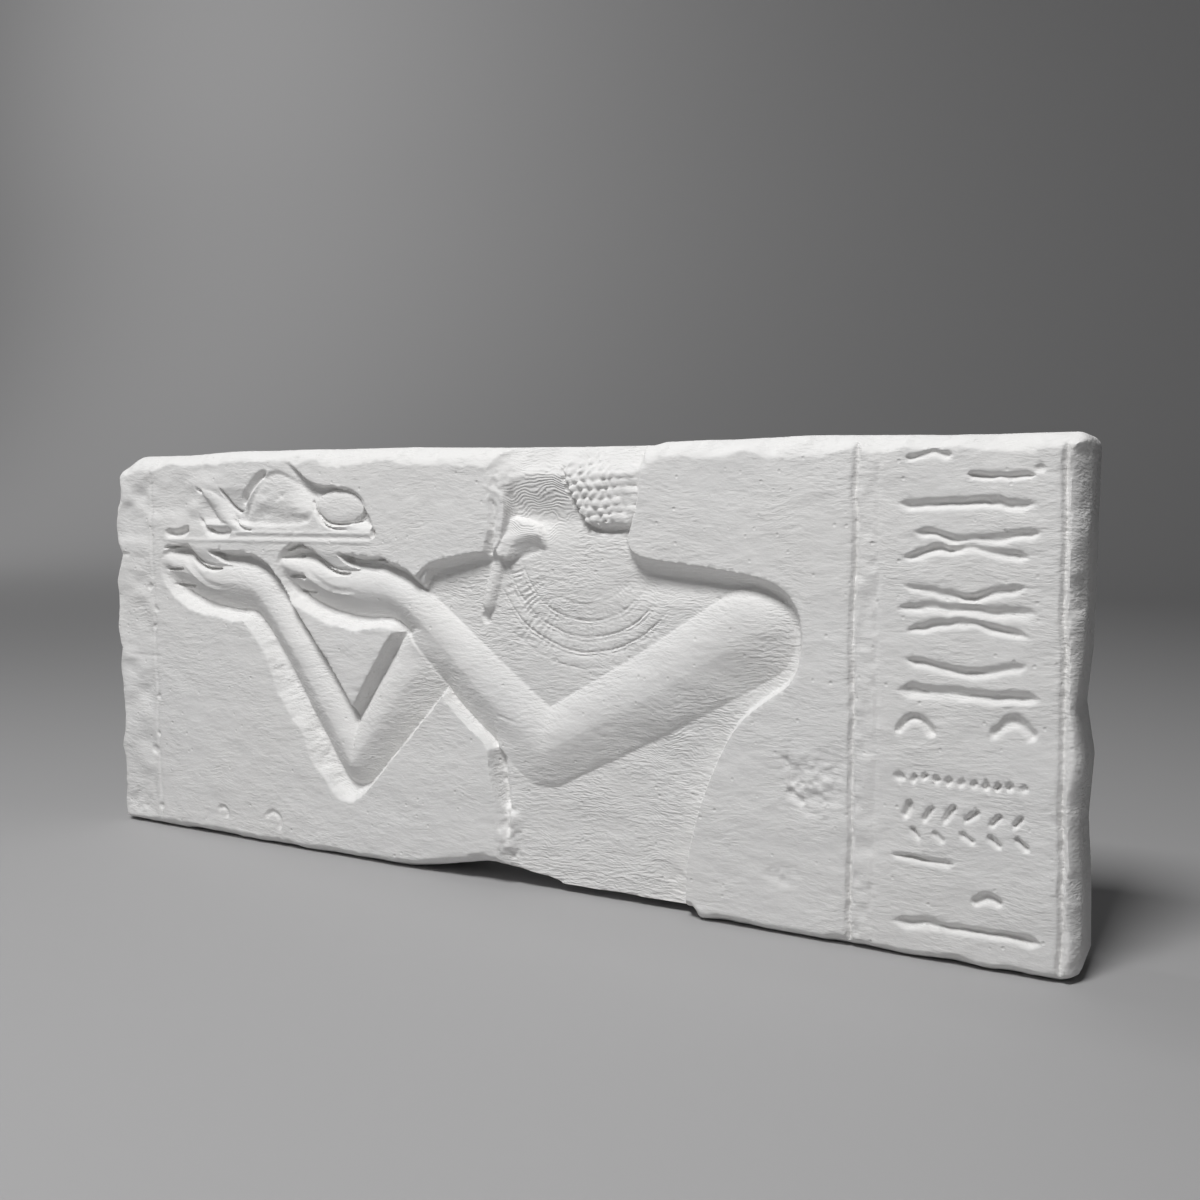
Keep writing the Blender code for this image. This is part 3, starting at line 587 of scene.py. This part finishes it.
# rows of plain shallow strokes and dashes between upright lines
def carveColumn(depth, u, w):
    deep = column["strokeDepth"] * (0.85 + 0.4 * noise(u, w, 6, 81))
    across = u + 0.7 * noise(u, w, 4.5, 83)
    along = w + 0.6 * noise(u, w, 4.5, 84) + 0.25 * noise(u, w, 1.8, 85)
    for height, start, end, bow, width in column["strokes"]:
        line = [(start, height), ((start + end) / 2, height + 2 * bow), (end, height)]
        depth = depth + deep * furrow(across, along, line, width, 0.12)
    for height, start, end, count, lean in column["dashes"]:
        pitch = (end - start) / count
        for i in range(count):
            left = start + pitch * (i + 0.15)
            line = [(left, height - lean), (left + 0.55 * pitch, height + lean)]
            depth = depth + deep * furrow(across, along, line, 2.4, 0.25)
    for place, lean, ruleDepth, wide in column["rules"]:
        here = np.full(u.shape, place)
        wander = 0.35 * noise(here, w, 9, 21) + 0.2 * noise(here, w, 2.6, 22)
        away = np.abs(u - place - wander - lean * w)
        strength = 0.9 + 0.2 * noise(u, w, 5, 23) + 0.1 * noise(u, w, 1.1, 24)
        depth = depth + ruleDepth * np.clip(strength, 0.2, 2) * ease(1 - away / wide)
    between = ease((u - 99.4) / 0.8) * ease((104.6 - u) / 1.2)
    return depth + between * (0.3 * noise(u, w, 2.6, 25, 0.8) + 0.15)


damage = {
    # place, height, radius, depth
    "pits": [(-134, 79, 1.3, 0.5), (-131.5, 71.5, 1.0, 0.4), (-132.5, 66, 1.0, 0.4),
             (-131.5, 43, 1.1, 0.4), (-132, 31, 1.0, 0.4), (-134, 25.5, 1.8, 0.6),
             (-131.5, 7, 1.4, 0.5), (140, 112.6, 1.2, 0.6)],
    # place, height, radius and width of the broken rings
    "rings": [(-104.5, 8, 2.1, 1.2), (-83.5, 7.6, 3.3, 1.3)],
    "ringDepth": 0.65,
    # centre, half width, half height, depth of the rough patches
    "patches": [(89.5, 38, 9, 9.5, 0.85), (82.5, 14, 6, 3, 0.5), (-141, 8, 7, 7, 0.5),
                (52, 6, 5, 5, 0.5)],
    # line, width and depth of the scratches and dents
    "marks": [
        ([(-2.4, 47.2), (1, 46.4), (5.4, 45.2)], 1.2, 0.25),
        ([(-147, 57.3), (-141, 56.2), (-133, 56.6), (-126, 55.7)], 1.8, 0.18),
        ([(-151, 88.5), (-146, 89.4), (-142, 89)], 2.4, 0.35),
        ([(81.6, 44), (83.6, 40), (84.0, 36)], 3.0, 0.7),
        ([(82.6, 36), (84.4, 33.8), (87.6, 32)], 3.4, 0.8),
    ],
    "lean": 0.6,             # how far the broken top over the neck leans back for each unit up
    "leanFrom": 113.2,
}


# pits, rings, rough patches and dents, then the broken top and the unevenness all over
def carveWear(depth, u, w):
    for x, z, radius, deep in damage["pits"]:
        away = np.hypot(u - x, (w - z) * 1.15) + 0.35 * noise(u, w, 1.4, 91)
        depth = depth + deep * ease((radius - away) / (0.7 * radius) + 0.3)
    for x, z, radius, wide in damage["rings"]:
        away = np.hypot(u - x, w - z)
        half = ease((0.6 * (u - x) + w - z + 1.4) / 2)
        depth = depth + damage["ringDepth"] * half * ease(1 - np.abs(away - radius + 0.4) / wide)
    for x, z, halfWide, halfHigh, deep in damage["patches"]:
        near = ease(1.3 - np.hypot((u - x) / halfWide, (w - z) / halfHigh))
        rough = 0.45 + 0.8 * noise(u, w, 3.4, 92) + 0.3 * noise(u, w, 1.2, 93)
        depth = depth + deep * near * rough
    for line, width, deep in damage["marks"]:
        depth = depth + deep * furrow(u, w, line, width)
    above = ease((u + 5) / 10) * ease((45 - u) / 3)
    height = w - damage["leanFrom"] + 0.9 * noise(u, w, 4, 94)
    depth = depth + above * (damage["lean"] * np.clip(height, 0, 9))
    blunt = ease((-98 - u) / 14) * ease((w - 96) / 8) + ease((-132 - u) / 3)
    uneven = (0.16 + 0.4 * blunt) * noise(u, w, 9, 41, 1.5)
    uneven = uneven + (0.1 + 0.3 * blunt) * noise(u, w, 4, 42, 1.5)
    uneven = uneven + 0.35 * np.minimum(blunt, 1)
    uneven = uneven + 0.07 * noise(u, w, 1.8, 43, 1.8)
    uneven = uneven + 0.04 * noise(u, w, 0.9, 44, 2.2)
    return np.maximum(depth + uneven, 0)


# the whole carving, from what lies deepest to what lies over it
def relief(u, w):
    depth = np.full(u.shape, arms["groundDepth"])
    edge = arms["edgeDepth"] * ease((u + 131) / 13)
    top = np.minimum(arms["crownDepth"], 0.4 * edge)
    top = top + 1.5 * ease((u + 44) / 18) * ease((70 - w) / 10)
    farArm = [*softened(arms["farHand"], False), *arms["farArm"]]
    depth = layLimb(depth, u, w, farArm, edge, top, 0.35 + 0.75 * ease((u + 88) / 8))
    depth = carveTorso(depth, u, w)
    depth = carveCollar(depth, u, w)
    depth = carveLappet(depth, u, w)
    edge = arms["edgeDepth"] * ease((u + 82) / 9)
    top = np.minimum(arms["crownDepth"], 0.4 * edge)
    nearArm = [*softened(arms["nearHand"], False), *arms["nearArm"]]
    over = ease(-(limb(u, w, farArm)[0] + 0.4) / 1.8)
    battered = 0.5 * ease((-38 - u) / 12) - 0.4 * ease((u + 32) / 8)
    depth = layLimb(depth, u, w, nearArm, edge, top, battered, over, (-30, -3))
    depth = carveHands(depth, u, w)
    depth = carveStrap(depth, u, w)
    depth = carveOfferings(depth, u, w)
    depth = carveColumn(depth, u, w)
    return carveWear(depth, u, w)


# The slab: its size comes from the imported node, its outline and edges are settled here
slab = {
    "panelLength": 303.0,      # carving units along the whole length, about a millimetre each
    "panelHeight": 123.0,
    "panelUnit": 0.001,        # metres of depth in a carving unit
    "panelShift": 0.75,        # carving units by which the carving stands to the right
    "panelLean": 0.0084,       # the small turn between the carving and the slab
    "leanAbout": -90,          # the place along the foot that it turns about
    "gridStep": 0.00040,       # metres between the points of the front before thinning
    "frontEdge": 0.0027,
    "topWear": 1.2,            # how much wider the front edge is worn along the top
    "footWear": 0.5,           # and along the foot
    "backEdge": 0.0009,
    "cornerRadius": 0.0118,
    "smallCorner": 0.0032,
    "footRecess": 0.0054,
    "sideSteps": 5,
    "keptTriangles": 192000,
    "smoothAngle": 50,
    "facesBack": 0.98,         # how squarely a face points back to belong to the flat back
    # share of the length from the middle, then how far the top lies below the full height
    "topDrop": [(-0.5, 0.0026), (-0.4, 0.0024), (-0.33, 0.0014), (-0.1, 0.0011), (0, 0.0017),
                (0.15, 0.0018), (0.162, 0.0010), (0.3, 0), (0.4, 0.0006), (0.5, 0.0004)],
    # share of the height, then how far each battered end lies inside the full length
    "leftEnd": [(0, 0.0025), (0.2, 0.0016), (0.29, 0.0025), (0.42, 0.0016), (0.47, 0.0029),
                (0.52, 0.0010), (0.66, 0), (0.72, 0.0023), (0.75, 0.0005), (0.84, 0), (1, 0)],
    "rightEnd": [(0, 0.0015), (0.02, 0), (0.16, 0.0005), (0.28, 0.0016), (0.4, 0.0008),
                 (0.5, 0.0029), (0.6, 0.0019), (1, 0.0017)],
}


# reads a table of shares and sizes at every place
def follow(share, line):
    return np.interp(share, *zip(*line))


# how far a rounded corner has dropped at a place this far in from the end
def cornerDrop(inward, radius):
    short = np.clip(1.0 - inward / radius, 0.0, 1.0)
    return radius * (1.0 - np.sqrt(1.0 - short**2))


# the lower edge, with the long hollow that is broken out under its middle
def footLine(x, length):
    share = x / length
    rise = ease((share + 0.125) / 0.115) * ease((0.2 - share) / 0.0135)
    chip = 0.46 + 0.24 * ease((0.06 - share) / 0.02) + 0.30 * ease((0.036 - share) / 0.04)
    right = cornerDrop(0.5 * length - x, slab["smallCorner"])
    left = cornerDrop(0.5 * length + x, 0.6 * slab["smallCorner"])
    return slab["footRecess"] * rise * chip + (right + left)


# the upper edge, with its rounded left corner and its low broken middle
def topLine(x, length, height):
    left = cornerDrop(0.5 * length + x, slab["cornerRadius"])
    right = cornerDrop(0.5 * length - x, slab["smallCorner"])
    return height - follow(x / length, slab["topDrop"]) - (left + right)


# every point of the front, in rows from the foot to the top
def frontPoints(length, height, thickness):
    columns = round(length / slab["gridStep"]) + 1
    rows = round(height / slab["gridStep"]) + 1
    s, t = np.meshgrid(np.linspace(0, 1, columns), np.linspace(0, 1, rows))
    x = (s - 0.5) * length
    low = footLine(x, length)
    high = topLine(x, length, height)
    z = low + t * (high - low)
    left = follow(z / height, slab["leftEnd"])
    right = follow(z / height, slab["rightEnd"])
    x = -0.5 * length + left + s * (length - left - right)
    u = x / length * slab["panelLength"] - slab["panelShift"]
    w = z / height * slab["panelHeight"]
    lean = slab["panelLean"]
    u, w = u + lean * w, w - lean * (u - slab["leanAbout"])
    depth = relief(u, w) * slab["panelUnit"]
    edge = np.minimum(np.minimum(z - low, high - z), np.minimum(s, 1 - s) * length)
    radius = slab["frontEdge"] * (1 + 0.22 * noise(u, w, 6.5, 31) + 0.08 * noise(u, w, 2, 32))
    topWear = slab["topWear"] * ease((2 * t - 1) / 0.5) * (1 + 0.5 * noise(u, w, 14, 33))
    radius = radius * (1 + topWear)
    radius = radius * (1 + slab["footWear"] * ease((1 - 2 * t) / 0.5))
    inset = np.clip(1 - edge / radius, 0.0, 1.0)
    y = -0.5 * thickness + np.maximum(depth, radius * inset**2.5)
    return np.stack([x, y, z], axis=-1), rows, columns


# the open edge of a mesh that is being edited
def selectRim():
    bpy.ops.mesh.select_all(action="DESELECT")
    bpy.ops.mesh.select_mode(type="EDGE")
    bpy.ops.mesh.select_non_manifold(
        extend=False, use_wire=False, use_boundary=True, use_multi_face=False,
        use_non_contiguous=False, use_verts=False)


def makeSlab(material):
    low, high = (np.array(corner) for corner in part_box("relief_plaque"))
    length, thickness, height = high - low
    points, rows, columns = frontPoints(length, height, thickness)
    bpy.ops.object.select_all(action="DESELECT")
    bpy.ops.mesh.primitive_grid_add(x_subdivisions=columns - 1, y_subdivisions=rows - 1, size=1.0)
    piece = bpy.context.object
    piece.name = piece.data.name = "carvedSlab"
    piece.data.vertices.foreach_set("co", points.reshape(-1))
    piece.data.update()

    # the sides run back from the rim in steps, each straighter than the one before, to a flat back
    bpy.ops.object.mode_set(mode="EDIT")
    selectRim()
    backRim = 0.5 * thickness - slab["backEdge"]
    for step in range(slab["sideSteps"]):
        bpy.ops.mesh.extrude_region_move()
        if step == slab["sideSteps"] - 1:
            squeeze = 0.0
        else:
            squeeze = 1.0 - 1.0 / (slab["sideSteps"] - step)
        bpy.ops.transform.resize(value=(1, squeeze, 1), center_override=(0, backRim, 0))
    bpy.ops.mesh.extrude_region_move()
    narrower = 1 - 2 * slab["backEdge"] / length
    lower = 1 - 2 * slab["backEdge"] / height
    bpy.ops.transform.resize(value=(narrower, 1, lower), center_override=(0, 0, 0.5 * height))
    bpy.ops.transform.translate(value=(0, slab["backEdge"], 0))
    bpy.ops.mesh.edge_face_add()
    bpy.ops.mesh.select_all(action="SELECT")
    bpy.ops.mesh.quads_convert_to_tris()
    bpy.ops.mesh.normals_make_consistent(inside=False)
    bpy.ops.object.mode_set(mode="OBJECT")
    before = len(piece.data.polygons)
    thin = piece.modifiers.new("thin", "DECIMATE")
    thin.ratio = min(1.0, slab["keptTriangles"] / before)
    bpy.ops.object.modifier_apply(modifier=thin.name)
    bpy.ops.object.shade_smooth_by_angle(angle=math.radians(slab["smoothAngle"]))
    for face in piece.data.polygons:
        face.use_smooth = face.normal.y < slab["facesBack"]
    piece.data.materials.append(material)
    print("slab:", before, "faces thinned to", len(piece.data.polygons))
    return piece


plasterLook = {
    "white": (0.80, 0.798, 0.795, 1.0),
    "warm": (0.80, 0.79, 0.775, 1.0),
    "cloudScale": 28.0,
    "roughness": 0.92,
    "specular": 0.25,
    "rippleScale": (400.0, 700.0, 1300.0),
    "rippleSway": 0.004,
    "swayScale": 60.0,
    "rippleHeight": 0.00024,
    "rippleFlat": -0.0104,       # places from front to back where the ripples begin to rise
    "rippleDeep": -0.0074,       # and where they are highest
    "rippleOnFace": 1.15,        # their strength on the face
    "rippleInCarving": 2.4,      # and deep in the carving
    "patchScale": 70.0,
    "patchRange": (0.35, 0.65),
    "patchFaint": 0.35,          # share of their strength that is left in the faintest patches
    "lineScale": 330.0,
    "lineSway": 34.0,
    "lineHeight": 0.00028,
    "lineInCarving": 0.15,
    "neckPlace": (0.0118, -0.0072, 0.1068),
    "neckInner": 0.006,
    "neckOuter": 0.013,
    "grainScale": 900.0,
    "grainHeight": 0.00008,
    "poreScale": 230.0,
    "poreRange": (0.03, 0.13),
    "poreHeight": 0.00015,
}


def makePlaster():
    look = plasterLook
    material = bpy.data.materials.new("plaster")
    material.use_nodes = True
    nodes = material.node_tree.nodes
    links = material.node_tree.links
    shader = nodes["Principled BSDF"]
    shader.inputs["Roughness"].default_value = look["roughness"]
    shader.inputs["Specular IOR Level"].default_value = look["specular"]

    # a node, whose inputs are numbers or what they are linked to
    def add(kind, inputs, **settings):
        node = nodes.new(kind)
        for name, value in settings.items():
            setattr(node, name, value)
        for name, value in inputs.items():
            if isinstance(value, bpy.types.NodeSocket):
                links.new(value, node.inputs[name])
            else:
                node.inputs[name].default_value = value
        return node

    def remap(value, low, high, start=0.0, end=1.0):
        span = {"Value": value, "From Min": low, "From Max": high, "To Min": start, "To Max": end}
        return add("ShaderNodeMapRange", span).outputs["Result"]

    def combine(first, second, operation="MULTIPLY"):
        return add("ShaderNodeMath", {0: first, 1: second}, operation=operation).outputs["Value"]

    def bump(height, distance, **below):
        inputs = {"Height": height, "Strength": 1.0, "Distance": distance, **below}
        return add("ShaderNodeBump", inputs).outputs["Normal"]

    place = add("ShaderNodeTexCoord", {}).outputs["Object"]

    # fine level ripples, wavy and broken, that are stronger down in the carving
    wander = add("ShaderNodeTexNoise", {"Vector": place, "Scale": look["swayScale"], "Detail": 1.0})
    sway = add("ShaderNodeVectorMath", {
        0: wander.outputs["Color"], 1: (0, 0, look["rippleSway"]), 2: place},
        operation="MULTIPLY_ADD")
    drawn = add("ShaderNodeMapping", {
        "Vector": sway.outputs["Vector"], "Scale": look["rippleScale"]})
    ripple = add("ShaderNodeTexNoise", {
        "Vector": drawn.outputs["Vector"], "Scale": 1.0, "Detail": 2.0, "Roughness": 0.5})
    patches = add("ShaderNodeTexNoise", {
        "Vector": place, "Scale": look["patchScale"], "Detail": 2.0})
    strength = remap(patches.outputs["Fac"], *look["patchRange"], look["patchFaint"])
    behind = add("ShaderNodeSeparateXYZ", {"Vector": place}).outputs["Y"]
    sunken = remap(behind, look["rippleFlat"], look["rippleDeep"],
                   look["rippleOnFace"], look["rippleInCarving"])
    rippled = combine(ripple.outputs["Fac"], combine(sunken, strength))
    surface = bump(rippled, look["rippleHeight"])

    # close wavy lines, strong on the neck and faint over the rest of the sunk figure
    scored = add("ShaderNodeTexWave", {
        "Vector": place, "Scale": look["lineScale"], "Distortion": look["lineSway"],
        "Detail": 1.5, "Detail Scale": 0.35}, bands_direction="Z")
    apart = add("ShaderNodeVectorMath", {0: place, 1: look["neckPlace"]}, operation="DISTANCE")
    neck = remap(apart.outputs["Value"], look["neckOuter"], look["neckInner"])
    chest = remap(behind, look["rippleFlat"], look["rippleDeep"], 0.0, look["lineInCarving"])
    shown = combine(combine(neck, chest, "MAXIMUM"), strength)
    surface = bump(combine(scored.outputs["Fac"], shown), look["lineHeight"], Normal=surface)

    # grain all over, and pores
    grain = add("ShaderNodeTexNoise", {
        "Vector": place, "Scale": look["grainScale"], "Detail": 4.0, "Roughness": 0.62})
    surface = bump(grain.outputs["Fac"], look["grainHeight"], Normal=surface)
    pores = add("ShaderNodeTexVoronoi", {"Vector": place, "Scale": look["poreScale"]}, feature="F1")
    pit = remap(pores.outputs["Distance"], *look["poreRange"])
    surface = bump(pit, look["poreHeight"], Normal=surface)
    links.new(surface, shader.inputs["Normal"])

    # white with faintly warmer clouds
    clouds = add("ShaderNodeTexNoise", {
        "Vector": place, "Scale": look["cloudScale"], "Detail": 3.0})
    tint = add("ShaderNodeMix", {
        "Factor": clouds.outputs["Fac"], "A": look["white"], "B": look["warm"]}, data_type="RGBA")
    links.new(tint.outputs["Result"], shader.inputs["Base Color"])
    print("plaster: ripples, scored lines, grain and pores")
    return material


stage = {
    "colour": (0.39, 0.387, 0.39, 1.0),
    "width": 9.0,
    "front": -1.8,
    "back": 1.2,
    "bend": 0.9,
    "height": 2.2,
    "bendSteps": 16,
    "edgeReach": 0.01,       # how near the back edge counts as on it
    "roughness": 0.75,
}


# a level floor that bends up into a wall behind the slab
def makeStage():
    bpy.ops.object.select_all(action="DESELECT")
    bpy.ops.mesh.primitive_plane_add(size=1.0, location=(0, 0, 0))
    sweep = bpy.context.object
    sweep.name = "paleFloor"
    depth = stage["back"] - stage["front"]
    for vert in sweep.data.vertices:
        vert.co.x *= stage["width"]
        vert.co.y = stage["front"] + (vert.co.y + 0.5) * depth
    bpy.ops.object.mode_set(mode="EDIT")
    bpy.ops.mesh.select_all(action="DESELECT")
    bpy.ops.object.mode_set(mode="OBJECT")
    backEdge = stage["back"] - stage["edgeReach"]
    for edge in sweep.data.edges:
        edge.select = all(sweep.data.vertices[i].co.y > backEdge for i in edge.vertices)
    bpy.ops.object.mode_set(mode="EDIT")
    bpy.ops.mesh.select_mode(type="EDGE")
    turn = 0.5 * math.pi / stage["bendSteps"]
    reach = stage["bend"] * turn
    for step in range(stage["bendSteps"]):
        angle = turn * (step + 0.5)
        move = (0, reach * math.cos(angle), reach * math.sin(angle))
        bpy.ops.mesh.extrude_region_move(TRANSFORM_OT_translate={"value": move})
    bpy.ops.mesh.extrude_region_move(TRANSFORM_OT_translate={"value": (0, 0, stage["height"])})
    bpy.ops.mesh.select_all(action="SELECT")
    bpy.ops.mesh.normals_make_consistent(inside=False)
    bpy.ops.object.mode_set(mode="OBJECT")
    bpy.ops.object.shade_smooth()
    material = bpy.data.materials.new("paleFloor")
    material.use_nodes = True
    shader = material.node_tree.nodes["Principled BSDF"]
    shader.inputs["Base Color"].default_value = stage["colour"]
    shader.inputs["Roughness"].default_value = stage["roughness"]
    sweep.data.materials.append(material)
    print("stage: pale floor and sweep")


view = {
    "place": (0.18285, -0.2956, 0.1066),
    "right": (0.88236, 0.47058, 0.00604),
    "up": (-0.04237, 0.06664, 0.99691),
    "look": (-0.46873, 0.87984, -0.07873),
    "lens": 37.2,
    "sensor": 36.0,
    "clipStart": 0.01,
}


def placeCamera():
    data = bpy.data.cameras.new("photoView")
    data.lens = view["lens"]
    data.sensor_width = view["sensor"]
    data.clip_start = view["clipStart"]
    camera = bpy.data.objects.new("photoView", data)
    bpy.context.scene.collection.objects.link(camera)
    turn = Matrix([view["right"], view["up"], [-v for v in view["look"]]]).transposed()
    camera.matrix_world = Matrix.Translation(view["place"]) @ turn.to_4x4()
    bpy.context.scene.camera = camera


lamps = {
    "key": {"place": (0.01, -0.46, 0.83), "aim": (0, 0, 0.06), "size": 0.26, "power": 7.4},
    "fill": {"place": (-0.7, -1.0, 0.35), "aim": (0, 0, 0.06), "size": 0.8, "power": 0.7},
    "wall": {"place": (-2.3, 0.3, 1.5), "aim": (-2.0, 2.0, 0.8), "size": 0.8, "power": 23.0},
}
room = {
    "colour": (0.9, 0.92, 0.95, 1.0),
    "strength": 0.045,
}


def placeLamps():
    for name, lamp in lamps.items():
        data = bpy.data.lights.new(name, "AREA")
        data.shape = "SQUARE"
        data.size = lamp["size"]
        data.energy = lamp["power"]
        item = bpy.data.objects.new(name, data)
        bpy.context.scene.collection.objects.link(item)
        item.location = lamp["place"]
        aim = Vector(lamp["aim"]) - item.location
        item.rotation_euler = aim.to_track_quat("-Z", "Y").to_euler()
    world = bpy.data.worlds.new("softRoom")
    world.use_nodes = True
    glow = world.node_tree.nodes["Background"]
    glow.inputs["Color"].default_value = room["colour"]
    glow.inputs["Strength"].default_value = room["strength"]
    bpy.context.scene.world = world
    bpy.context.scene.view_settings.view_transform = "Standard"
    print("camera and lamps placed")


placeCamera()
placeLamps()
makeStage()
carvedSlab = makeSlab(makePlaster())
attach(carvedSlab, "root")
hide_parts("relief_plaque")
